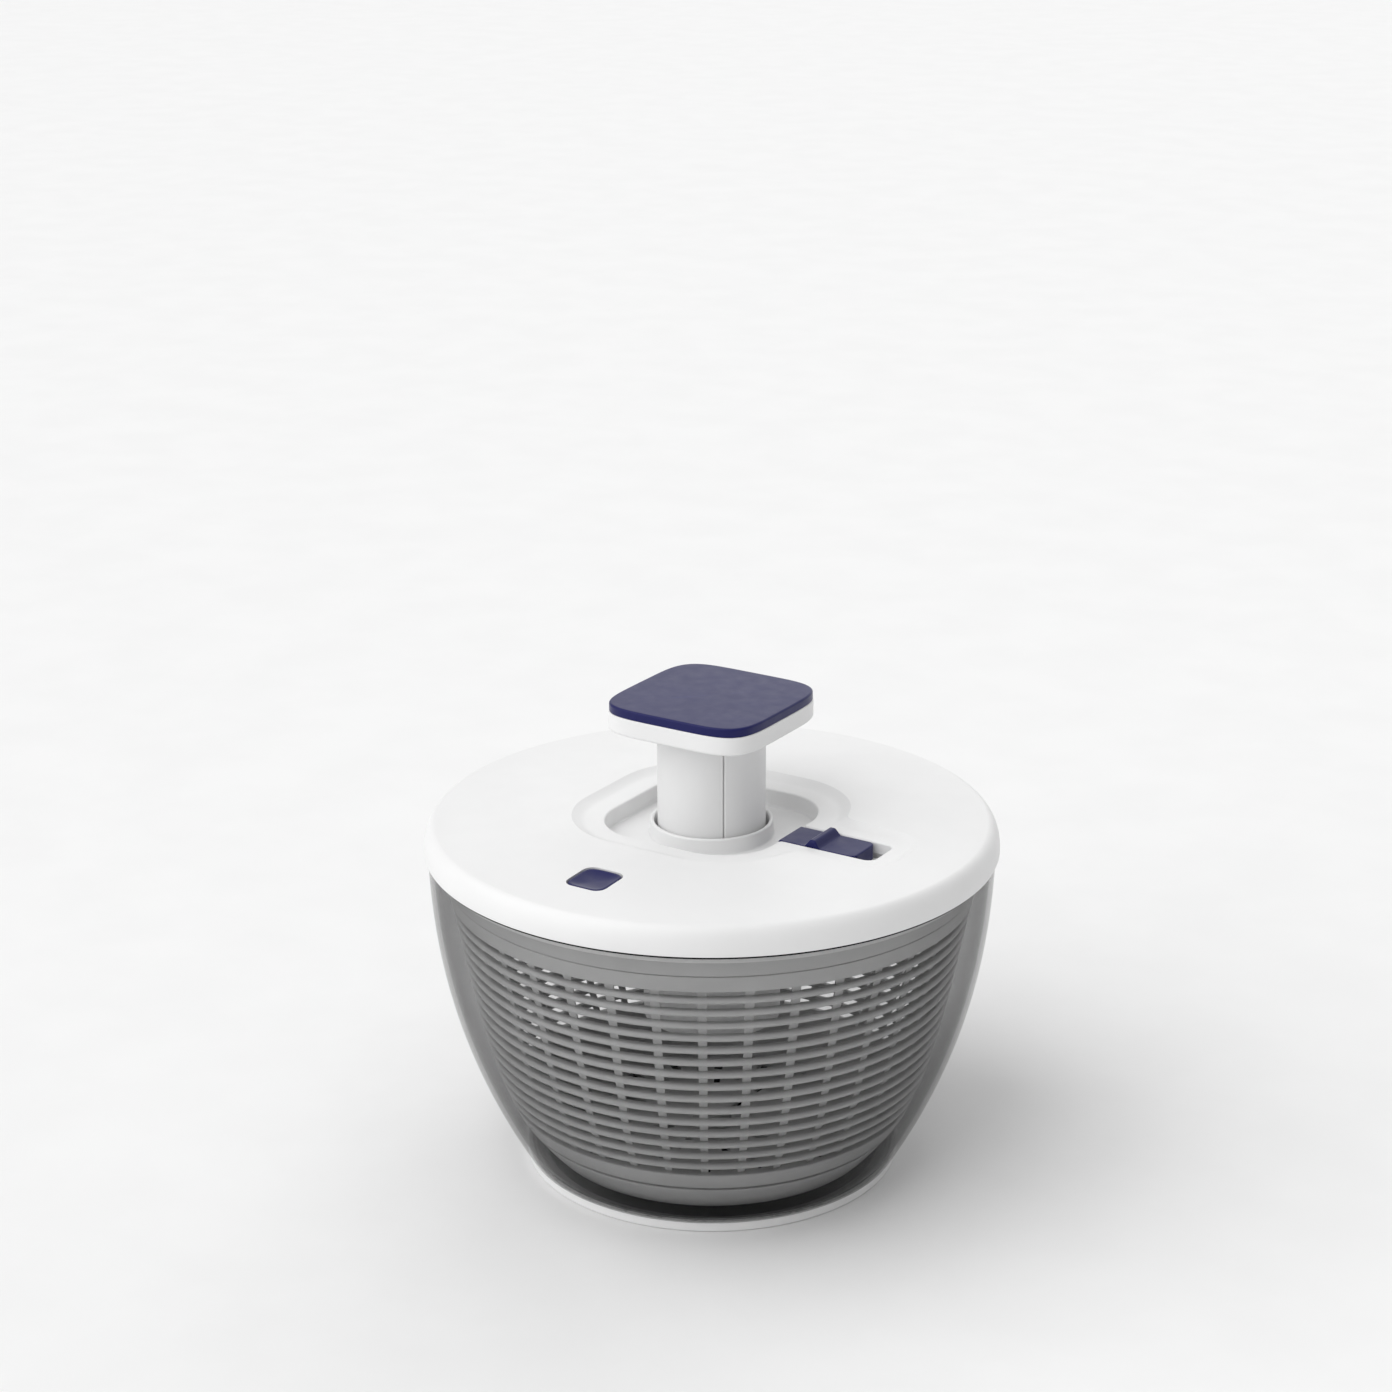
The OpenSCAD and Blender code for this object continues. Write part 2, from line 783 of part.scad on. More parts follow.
module brake_pad() {
    color([0.05, 0.05, 0.05])
        translate([0, -brake_y, disc_z + disc_t + brake_travel + 0.4])
            cylinder(r = 7, h = 151 - disc_z - disc_t - brake_travel - 0.4);
}

module brake_spring() {
    color([0.66, 0.67, 0.7])
        translate([0, -brake_y, 0])
            coil(6, 0.35, base_top, 158, 3, 14, 6);
}

bowl();
foot_ring();
grip_ring();
non_slip_mat();
pivot_pin();
basket();
basket_bush();
lid_cover();
lid_base();
lid_seal();
lid_screws();
guide_bush();
housing_cap();
thrust_washer();
return_spring();
slider_leaf_spring();
knob_pad();
knob_plate();
knob_screws();
sleeve_front();
sleeve_rear();
stop_ring();
drive_nut();
twist_rod();
ratchet_hub();
ratchet_pawls();
rotor_washer();
rotor_screw();
rotor_disc();
rotor_cup();
ratchet_ring();
lock_slider();
latch_bar();
brake_button();
brake_pad();
brake_spring();
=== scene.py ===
"""Looks of the pump-action salad spinner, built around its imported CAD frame.

Shapes are worked out in millimetres and become metres when a mesh is made. +Z is up, the axis of the
bowl is the Z axis, the lock slider lies towards +X and the brake button towards -Y.
"""

import json
import math

import bmesh
import bpy
import numpy as np
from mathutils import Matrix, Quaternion, Vector


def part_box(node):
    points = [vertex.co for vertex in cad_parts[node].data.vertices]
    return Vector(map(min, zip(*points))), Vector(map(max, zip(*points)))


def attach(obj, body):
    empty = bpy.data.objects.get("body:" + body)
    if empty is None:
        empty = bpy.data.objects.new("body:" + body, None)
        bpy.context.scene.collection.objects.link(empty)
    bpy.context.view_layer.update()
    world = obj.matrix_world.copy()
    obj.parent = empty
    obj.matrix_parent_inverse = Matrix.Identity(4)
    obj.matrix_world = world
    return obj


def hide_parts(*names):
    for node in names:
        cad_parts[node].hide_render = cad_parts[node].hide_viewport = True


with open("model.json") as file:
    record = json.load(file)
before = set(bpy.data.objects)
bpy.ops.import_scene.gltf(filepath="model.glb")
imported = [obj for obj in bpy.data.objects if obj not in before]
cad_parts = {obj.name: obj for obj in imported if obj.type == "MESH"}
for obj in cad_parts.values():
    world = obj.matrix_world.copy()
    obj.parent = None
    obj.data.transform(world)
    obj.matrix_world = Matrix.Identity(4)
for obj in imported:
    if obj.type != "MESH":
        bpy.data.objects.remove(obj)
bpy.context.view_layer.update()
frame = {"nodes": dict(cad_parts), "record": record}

MM = 0.001
ROUND = 192  # columns of a piece turned about the axis
SMOOTH = math.radians(32)  # edges sharper than this are shaded as edges


# ---- Camera, floor and light ----


def make_camera():
    """The camera at the photo's viewing angle."""
    place = Vector((0.6497, -1.0376, 0.6407))
    aim = Vector((-0.0058, -0.0037, 0.2210))
    lens = bpy.data.cameras.new("camera")
    lens.lens = 75.117
    lens.sensor_width = 36
    camera = bpy.data.objects.new("camera", lens)
    roll = Quaternion((0, 0, 1), math.radians(-0.205))
    camera.rotation_mode = "QUATERNION"
    camera.location = place
    camera.rotation_quaternion = (aim - place).to_track_quat("-Z", "Y") @ roll
    bpy.context.scene.collection.objects.link(camera)
    bpy.context.scene.camera = camera


def add_sun(name, heading, height, strength, softness):
    """A soft distant light that comes from that heading and height above the horizon, in degrees."""
    data = bpy.data.lights.new(name, "SUN")
    data.energy = strength
    data.angle = math.radians(softness)
    lamp = bpy.data.objects.new(name, data)
    a, e = math.radians(heading), math.radians(height)
    source = Vector((math.cos(a) * math.cos(e), math.sin(a) * math.cos(e), math.sin(e)))
    lamp.rotation_mode = "QUATERNION"
    lamp.rotation_quaternion = source.to_track_quat("Z", "Y")
    bpy.context.scene.collection.objects.link(lamp)


def make_studio():
    """A wide pale floor under soft light, most of it from the left of the camera."""
    scene = bpy.context.scene
    scene.view_settings.view_transform = "Standard"
    world = bpy.data.worlds.new("studio")
    world.use_nodes = True
    sky = world.node_tree.nodes["Background"]
    sky.inputs["Color"].default_value = (1, 1, 1, 1)
    sky.inputs["Strength"].default_value = 0.4
    scene.world = world
    add_sun("key", heading=-126, height=43, strength=1.9, softness=78)
    add_sun("top", heading=-90, height=82, strength=0.55, softness=70)
    add_sun("back", heading=98, height=26, strength=0.7, softness=64)

    half, gap = 30, 0.0002  # metres: half the floor's side, and how far it lies under the part
    corners = [(-half, -half, 0), (half, -half, 0), (half, half, 0), (-half, half, 0)]
    mesh = bpy.data.meshes.new("floor")
    mesh.from_pydata(corners, [], [(0, 1, 2, 3)])
    floor = bpy.data.objects.new("floor", mesh)
    floor.location.z = -gap
    scene.collection.objects.link(floor)
    paper = Surface("floor_paper", (0.86, 0.86, 0.86), 0.9)
    paper.vary_colour(0.01, size_mm=60)
    mesh.materials.append(paper.material)


# ---- Materials ----


class Surface:
    """A Principled material built in object space, so its detail moves with the piece."""

    def __init__(self, name, colour, roughness, **sockets):
        self.material = bpy.data.materials.new(name)
        self.material.use_nodes = True
        self.tree = self.material.node_tree
        self.shader = self.tree.nodes["Principled BSDF"]
        self.place = self.add("ShaderNodeTexCoord").outputs["Object"]
        self.base = colour  # the plain colour
        self.colour = colour  # what the shader's colour socket shows so far
        self.roughness = roughness
        self.normal = None
        self.shader.inputs["Base Color"].default_value = (*colour, 1)
        self.shader.inputs["Roughness"].default_value = roughness
        for socket, value in sockets.items():
            self.shader.inputs[socket.replace("_", " ")].default_value = value

    def add(self, kind, inputs=None, **settings):
        """A node of that kind; inputs are values or other nodes' outputs."""
        node = self.tree.nodes.new(kind)
        for key, value in settings.items():
            setattr(node, key, value)
        for key, value in (inputs or {}).items():
            if isinstance(value, bpy.types.NodeSocket):
                self.tree.links.new(value, node.inputs[key])
            else:
                node.inputs[key].default_value = value
        return node

    def noise(self, size_mm, detail=2.0, stretch=(1, 1, 1)):
        """Noise whose blotches are size_mm across, from 0 to 1."""
        place = self.place
        if stretch != (1, 1, 1):
            place = self.add("ShaderNodeMapping", {"Vector": place, "Scale": stretch}).outputs["Vector"]
        inputs = {"Vector": place, "Scale": 1 / (size_mm * MM), "Detail": detail}
        return self.add("ShaderNodeTexNoise", inputs).outputs["Fac"]

    def span(self, value, low, high, out_low, out_high):
        """Value stretched from low..high to out_low..out_high, and held there."""
        inputs = {"Value": value, "From Min": low, "From Max": high, "To Min": out_low, "To Max": out_high}
        return self.add("ShaderNodeMapRange", inputs).outputs["Result"]

    def multiply(self, a, b):
        return self.add("ShaderNodeMath", {0: a, 1: b}, operation="MULTIPLY").outputs["Value"]

    def mix(self, factor, a, b):
        """Colour a where factor is 0, b where it is 1."""
        node = self.add("ShaderNodeMix", data_type="RGBA")
        blend = next(s for s in node.inputs if s.name == "Factor" and s.type == "VALUE")
        self.tree.links.new(factor, blend)
        for key, value in (("A", a), ("B", b)):
            socket = next(s for s in node.inputs if s.name == key and s.type == "RGBA")
            if isinstance(value, bpy.types.NodeSocket):
                self.tree.links.new(value, socket)
            else:
                socket.default_value = (*value, 1)
        return next(s for s in node.outputs if s.type == "RGBA")

    def set_colour(self, socket):
        self.tree.links.new(socket, self.shader.inputs["Base Color"])
        self.colour = socket

    def shade(self, amount):
        """The plain colour made lighter or darker by amount."""
        return tuple(min(1.0, c * (1 + amount)) for c in self.base)

    def vary_colour(self, amount, size_mm):
        """Soft blotches that make the colour lighter and darker by amount."""
        cloud = self.span(self.noise(size_mm, 3), 0.35, 0.65, 0, 1)
        self.set_colour(self.mix(cloud, self.shade(-amount), self.shade(amount)))

    def pointiness(self):
        """About 0.5 on a flat face, more on an edge and less in a corner."""
        return self.add("ShaderNodeNewGeometry").outputs["Pointiness"]

    def wear_edges(self, amount, lighter):
        """Rubbed edges turn lighter, in patches."""
        edge = self.span(self.pointiness(), 0.52, 0.6, 0, amount)
        patches = self.span(self.noise(2.5, 4), 0.35, 0.6, 0.3, 1)
        self.set_colour(self.mix(self.multiply(edge, patches), self.colour, self.shade(lighter)))

    def paint_shade_in_hollows(self, amount):
        """Painted shade: hollows and corners turn a little darker, as if shade fell there."""
        hollow = self.span(self.pointiness(), 0.48, 0.42, 0, amount)
        self.set_colour(self.mix(hollow, self.colour, self.shade(-0.6)))

    def vary_roughness(self, amount, size_mm, stretch=(1, 1, 1)):
        """Patches that are rougher and smoother by amount."""
        rub = self.noise(size_mm, 4, stretch)
        rough = self.span(rub, 0.3, 0.7, self.roughness - amount, self.roughness + amount)
        self.tree.links.new(rough, self.shader.inputs["Roughness"])

    def raise_grain(self, height, depth_mm, strength=1.0):
        """Adds relief of that height field, over what is already there."""
        inputs = {"Height": height, "Distance": depth_mm * MM, "Strength": strength}
        if self.normal:
            inputs["Normal"] = self.normal
        self.normal = self.add("ShaderNodeBump", inputs).outputs["Normal"]
        self.tree.links.new(self.normal, self.shader.inputs["Normal"])

    def round_edges(self, radius_mm):
        """Shades hard edges as if they had that radius."""
        self.normal = self.add("ShaderNodeBevel", {"Radius": radius_mm * MM}, samples=4).outputs["Normal"]
        self.tree.links.new(self.normal, self.shader.inputs["Normal"])


def plastic(name, colour, roughness, tint=0.02, grain_mm=0.45, depth_mm=0.012, wear=0.3, lighter=0.25,
            soft_edge=0, **sockets):
    """Moulded plastic: a spark-eroded grain, faint flow marks, rubbed edges and painted shade in its corners.
    """
    made = Surface(name, colour, roughness, **sockets)
    made.vary_colour(tint, size_mm=28)
    made.wear_edges(wear, lighter)
    # Painted shade: hollows and corners are darkened where shade would fall
    made.paint_shade_in_hollows(0.35)
    made.vary_roughness(0.05, size_mm=6)
    if soft_edge:
        made.round_edges(soft_edge)
    made.raise_grain(made.noise(size_mm=22, detail=1), depth_mm=0.05, strength=0.25)
    made.raise_grain(made.noise(grain_mm, detail=3), depth_mm, strength=0.6)
    return made.material


def rubber(name, colour):
    """Matt rubber with a fine grain."""
    made = Surface(name, colour, 0.75, Specular_IOR_Level=0.2)
    made.vary_colour(0.12, size_mm=9)
    made.vary_roughness(0.08, size_mm=3)
    made.raise_grain(made.noise(size_mm=0.7, detail=4), depth_mm=0.05, strength=0.8)
    return made.material


def metal(name, colour, roughness, stretch):
    """Drawn or turned steel: fine lines along the drawing direction."""
    made = Surface(name, colour, roughness, Metallic=1.0, Anisotropic=0.4)
    made.vary_colour(0.05, size_mm=5)
    made.vary_roughness(0.08, size_mm=0.8, stretch=stretch)
    made.round_edges(0.15)
    made.raise_grain(made.noise(0.25, 3, stretch), depth_mm=0.006, strength=0.5)
    return made.material


def smoke_clear(name):
    """Clear plastic with a smoke tint: it darkens towards its outline, where the wall is seen edge on."""
    made = Surface(name, (0.01, 0.01, 0.0105), 0.08, IOR=1.49, Specular_IOR_Level=0.25)
    made.vary_colour(0.05, size_mm=40)
    made.vary_roughness(0.025, size_mm=9)
    clearest, darkest, steepness = 0.04, 0.76, 2.2
    edge_on = made.add("ShaderNodeLayerWeight", {"Blend": 0.5}).outputs["Facing"]
    curve = made.add("ShaderNodeMath", {0: edge_on, 1: steepness}, operation="POWER").outputs["Value"]
    film = made.span(curve, 0, 1, clearest, darkest)
    made.tree.links.new(film, made.shader.inputs["Alpha"])
    made.raise_grain(made.noise(size_mm=30, detail=1), depth_mm=0.06, strength=0.2)
    return made.material


# ---- Mesh making ----


def solid_object(name, points, faces):
    """An object from points in millimetres, joined where they meet and with its faces turned outwards."""
    mesh = bpy.data.meshes.new(name)
    mesh.from_pydata([tuple(p) for p in np.asarray(points) * MM], [], faces)
    work = bmesh.new()
    work.from_mesh(mesh)
    bmesh.ops.remove_doubles(work, verts=work.verts, dist=1e-6)
    loose = [e for e in work.edges if not e.link_faces]
    bmesh.ops.delete(work, geom=loose, context="EDGES")
    bmesh.ops.recalc_face_normals(work, faces=work.faces)
    work.to_mesh(mesh)
    work.free()
    made = bpy.data.objects.new(name, mesh)
    bpy.context.scene.collection.objects.link(made)
    return made


def add_piece(name, points, faces, body, slot, material, nodes, weighted=True):
    """A piece from points in millimetres. It rides on body and stands for the CAD nodes."""
    piece = solid_object(name, points, faces)
    finish_shading(piece, weighted)
    piece.data.materials.append(material)
    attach(piece, body)
    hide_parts(*nodes)
    return piece


def finish_shading(piece, weighted):
    """Smooth shading with sharp edges kept; weighted also keeps flat faces flat beside their rounding."""
    mesh = piece.data
    mesh.polygons.foreach_set("use_smooth", [True] * len(mesh.polygons))
    mesh.set_sharp_from_angle(angle=SMOOTH)
    if weighted:
        normals = piece.modifiers.new("flat faces stay flat", "WEIGHTED_NORMAL")
        normals.keep_sharp = True


def grid_faces(rows, columns, looped):
    """Quads between neighbouring rows of points, and if looped also from the last row to the first."""
    made = []
    for r in range(rows if looped else rows - 1):
        below, above = r * columns, (r + 1) % rows * columns
        for c in range(columns):
            d = (c + 1) % columns
            made.append((below + c, below + d, above + d, above + c))
    return made


def add_loft(name, rows, looped, **placing):
    """A piece skinned over rows of points that all have the same number of columns."""
    rows = [np.asarray(r, float) for r in rows]
    return add_piece(name, np.vstack(rows), grid_faces(len(rows), len(rows[0]), looped), **placing)


def circle_row(radius, z, columns=ROUND):
    """A row of points round the axis."""
    a = np.arange(columns) * (2 * math.pi / columns)
    return np.column_stack([radius * np.cos(a), radius * np.sin(a), np.full(columns, float(z))])


def rounded(corners, steps=5, closed=True):
    """The outline through corners (x, y, radius), each one rounded by its radius."""
    made = []
    for i, (x, y, radius) in enumerate(corners):
        if not radius or (not closed and i in (0, len(corners) - 1)):
            made.append((x, y))
            continue
        here = Vector((x, y))
        one = (Vector(corners[i - 1][:2]) - here).normalized()
        two = (Vector(corners[(i + 1) % len(corners)][:2]) - here).normalized()
        half = one.angle(two) / 2
        centre = here + (one + two).normalized() * (radius / math.sin(half))
        u = here + one * (radius / math.tan(half)) - centre
        v = here + two * (radius / math.tan(half)) - centre
        turn = u.angle(v)
        for k in range(steps + 1):
            t = k / steps
            p = centre + (u * math.sin((1 - t) * turn) + v * math.sin(t * turn)) / math.sin(turn)
            made.append((p.x, p.y))
    return made


def add_turned(name, outline, looped=True, columns=ROUND, **placing):
    """A piece turned about the axis from an outline of (radius, height)."""
    return add_loft(name, [circle_row(r, z, columns) for r, z in outline], looped, **placing)


def prism(outline, low, high):
    """A throwaway upright prism."""
    points = [(x, y, z) for z in (low, high) for x, y in outline]
    n = len(outline)
    faces = [tuple(range(n)), tuple(range(n, 2 * n))]
    faces += [(i, (i + 1) % n, n + (i + 1) % n, n + i) for i in range(n)]
    return solid_object("prism", points, faces)


def cut_out(piece, outline, low, high, operation="DIFFERENCE"):
    """Cuts a prism out of piece, or joins it on, and leaves a plain mesh."""
    tool = prism(outline, low, high)
    weighted = len(piece.modifiers) > 0
    piece.modifiers.clear()
    step = piece.modifiers.new("cut", "BOOLEAN")
    step.operation = operation
    step.solver = "EXACT"
    step.object = tool
    bpy.context.view_layer.update()
    graph = bpy.context.evaluated_depsgraph_get()
    mesh = bpy.data.meshes.new_from_object(piece.evaluated_get(graph))
    piece.modifiers.clear()
    piece.data = mesh
    bpy.data.objects.remove(tool)
    finish_shading(piece, weighted)


def box_outline(x0, x1, y0, y1, corner=0.0):
    """The outline of a rectangle with round corners."""
    return rounded([(x0, y0, corner), (x1, y0, corner), (x1, y1, corner), (x0, y1, corner)], 6)


def squircle(half_x, half_y, z, power=5.0, columns=240):
    """A square with bowed sides and round corners, as one row of points."""
    a = (np.arange(columns) + 0.5) * (2 * math.pi / columns)
    c, s = np.cos(a), np.sin(a)
    r = (np.abs(c / half_x) ** power + np.abs(s / half_y) ** power) ** (-1 / power)
    return np.column_stack([r * c, r * s, np.full(columns, float(z))])


# ---- Bowl and base ----

bowl_low, bowl_high = (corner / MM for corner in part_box("bowl"))
foot_low, foot_high = (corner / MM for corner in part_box("foot_ring"))
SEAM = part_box("lid_cover")[0].z / MM
RIM = bowl_high.z
FOOT_TOP = foot_high.z
MAT_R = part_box("non_slip_mat")[1].x / MM


def bowl_radius(z):
    """Outer radius of the bowl at height z."""
    down = 1 - z / SEAM
    return 128.3 - 40.24 * down**2.23 - 3.86 * down


def make_bowl(material):
    """A thin wall over a flat floor with a raised ring and the pivot's boss."""
    wall, floor_low, floor_top = 2.2, bowl_low.z, 5.0
    boss_r, boss_top, pin_r, pin_low = 8.0, 6.6, 3.02, bowl_low.z + 1
    ring_r, ring_rise = 66.8, 0.7
    step_r, lip_low, bend_top = 83.4, RIM - 1.2, floor_top + 7
    low, steps = FOOT_TOP + 0.4, 40

    def inner_radius(z):
        return bowl_radius(z) - wall

    heights = [low + (lip_low - low) * i / steps for i in range(steps + 1)]
    outside = [(bowl_radius(z), z) for z in heights]
    lip = rounded([(bowl_radius(lip_low), lip_low, 0), (bowl_radius(RIM), RIM, 0.9),
                   (inner_radius(RIM), RIM, 0.9), (inner_radius(lip_low), lip_low, 0)], 4, False)
    inside = [(inner_radius(z), z) for z in reversed(heights) if z > bend_top]
    foot = rounded([(0, floor_low, 0), (step_r, floor_low, 0.5), (step_r, FOOT_TOP, 0.2),
                    (bowl_radius(FOOT_TOP), FOOT_TOP, 0)], 4, False)
    base = rounded([(inner_radius(bend_top), bend_top, 0), (inner_radius(floor_top), floor_top, 5.5),
                    (ring_r + 1.2, floor_top, 0), (ring_r + 0.6, floor_top + ring_rise, 0.2),
                    (ring_r - 0.6, floor_top + ring_rise, 0.2), (ring_r - 1.2, floor_top, 0),
                    (boss_r, floor_top, 1), (boss_r, boss_top, 0.6),
                    (pin_r, boss_top, 0.2), (pin_r, pin_low, 0), (0, pin_low, 0)], 6, False)
    outline = foot + outside + lip[1:-1] + inside + base
    add_turned("outer_bowl", outline, looped=False, columns=256, body="bowl", slot="bowl_clear",
               material=material, nodes=["bowl"], weighted=False)


def make_foot(white):
    """The white ring that the bowl stands in."""
    outer, inner, shelf = foot_high.x, 83.7, 2.6
    mat_hole = MAT_R + 0.05
    outline = rounded([(mat_hole, 0, 0.3), (outer, 0, 0.7), (outer, FOOT_TOP, 0.7), (inner, FOOT_TOP, 0.5),
                       (inner, shelf, 0.2), (mat_hole, shelf, 0.2)])
    add_turned("foot_ring_body", outline, columns=256, body="bowl", slot="white_plastic", material=white,
               nodes=["foot_ring"])


def make_grip(ribbed):
    """A flat ring with a collar whose top is ribbed."""
    low, high = (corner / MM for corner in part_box("grip_ring"))
    swell = [0.0, 0.5, 1.0, 0.5]  # height of one rib at its columns
    ribs, rib_height = 420, 0.4
    swells = np.tile(swell, ribs)
    circle = circle_row(1, 0, ribs * len(swell))
    inner, collar_in, collar_out = 77.5, 82.0, 83.3
    collar_top, flat_top, edge = FOOT_TOP - 0.5, high.z - 0.1, 0.2
    ribbed_part = [(collar_out, collar_top - edge), (collar_out - edge, collar_top),
                   (collar_in + edge, collar_top), (collar_in, collar_top - edge)]
    outline = [(inner, low.z), (collar_out, low.z), *ribbed_part,
               (collar_in, flat_top), (inner + 0.4, flat_top), (inner, high.z - edge)]
    rows = []
    for radius, z in outline:
        row = circle * [radius, radius, 1]
        row[:, 2] = z + rib_height * swells * ((radius, z) in ribbed_part)
        rows.append(row)
    add_loft("ribbed_grip_ring", rows, True, body="bowl", slot="grip_rubber", material=ribbed,
             nodes=["grip_ring"])


def make_mat(black):
    """A mat with five grooves in the band that it stands on."""
    top, inner, inner_top = 2.6, 66, 1
    grooves = []
    for k in range(5):
        r = MAT_R - 2.4 - 2 * k
        grooves += [(r, 0, 0.15), (r - 0.3, 0.6, 0.15), (r - 0.9, 0.6, 0.15), (r - 1.2, 0, 0.15)]
    outline = rounded([(0, top, 0), (MAT_R, top, 0.3), (MAT_R, 0, 0.6), *grooves,
                       (inner, 0, 0.4), (inner, inner_top, 0.3), (0, inner_top, 0)], 4, False)
    add_turned("rubber_mat", outline, looped=False, body="bowl", slot="black_rubber", material=black,
               nodes=["non_slip_mat"])


# ---- Basket ----

RIB_PITCH = 10  # degrees from one rib to the next
RIB_STEP = 2  # degrees a rib takes, and one column of the mesh
COLUMNS = 360 // RIB_STEP
WALL_IN = 3.2  # how far the basket's inner face lies behind its outline
RING_IN = 3.3  # how far the rings and ribs reach in behind it
RIB_OUT = 2.5  # how far a rib lies behind the rings


def basket_radius(z):
    """Outer radius of the basket at height z."""
    down = (151 - z) / 142
    return 122.6 - 27.3 * down - 17.4 * down**6


def basket_point(z, out=0.0, corner=0.0):
    """A corner for rounded() that lies out from the basket's outline at height z."""
    return basket_radius(z) + out, z, corner


class Cage:
    """Closed cross-sections turned about the axis, and bridges between two facing edges of them.

    A bridge covers a run of columns. Between two sections it is a rib, and across one it is a slot.
    """

    def __init__(self):
        self.rows = []
        self.faces = []
        self.open = set()
        self.walls = []

    def section(self, outline, looped=True):
        """Adds a cross-section of (radius, height) points, turned all the way round."""
        first = len(self.rows)
        self.rows += outline
        last = len(self.rows) - 1
        edges = [(k, k + 1) for k in range(first, last)] + ([(last, first)] if looped else [])
        self.faces += [(a, b, c) for a, b in edges for c in range(COLUMNS)]

    def bridge(self, edge_a, edge_b, columns):
        """Joins edge_a = (p, q) to edge_b = (r, s), where p faces r and q faces s, over a run of columns."""
        (p, q), (r, s) = edge_a, edge_b
        for c in columns:
            self.open |= {(min(p, q), max(p, q), c % COLUMNS), (min(r, s), max(r, s), c % COLUMNS)}
            self.walls.append([(p, c), (p, c + 1), (r, c + 1), (r, c)])
            self.walls.append([(q, c), (q, c + 1), (s, c + 1), (s, c)])
        for c in (columns[0], columns[-1] + 1):
            self.walls.append([(p, c), (q, c), (s, c), (r, c)])

    def index(self, row, column):
        return row * COLUMNS + column % COLUMNS

    def mesh(self):
        """The points, one row for each point of a section, and the faces between them."""
        turn = np.radians((np.arange(COLUMNS) - 0.5) * RIB_STEP)
        ring = np.array(self.rows)
        x = np.outer(ring[:, 0], np.cos(turn))
        y = np.outer(ring[:, 0], np.sin(turn))
        z = np.repeat(ring[:, 1:2], COLUMNS, axis=1)
        faces = []
        for a, b, c in self.faces:
            if (min(a, b), max(a, b), c) not in self.open:
                faces.append((self.index(a, c), self.index(a, c + 1), self.index(b, c + 1), self.index(b, c)))
        faces += [tuple(self.index(r, c) for r, c in wall) for wall in self.walls]
        return np.stack([x, y, z], axis=2), faces


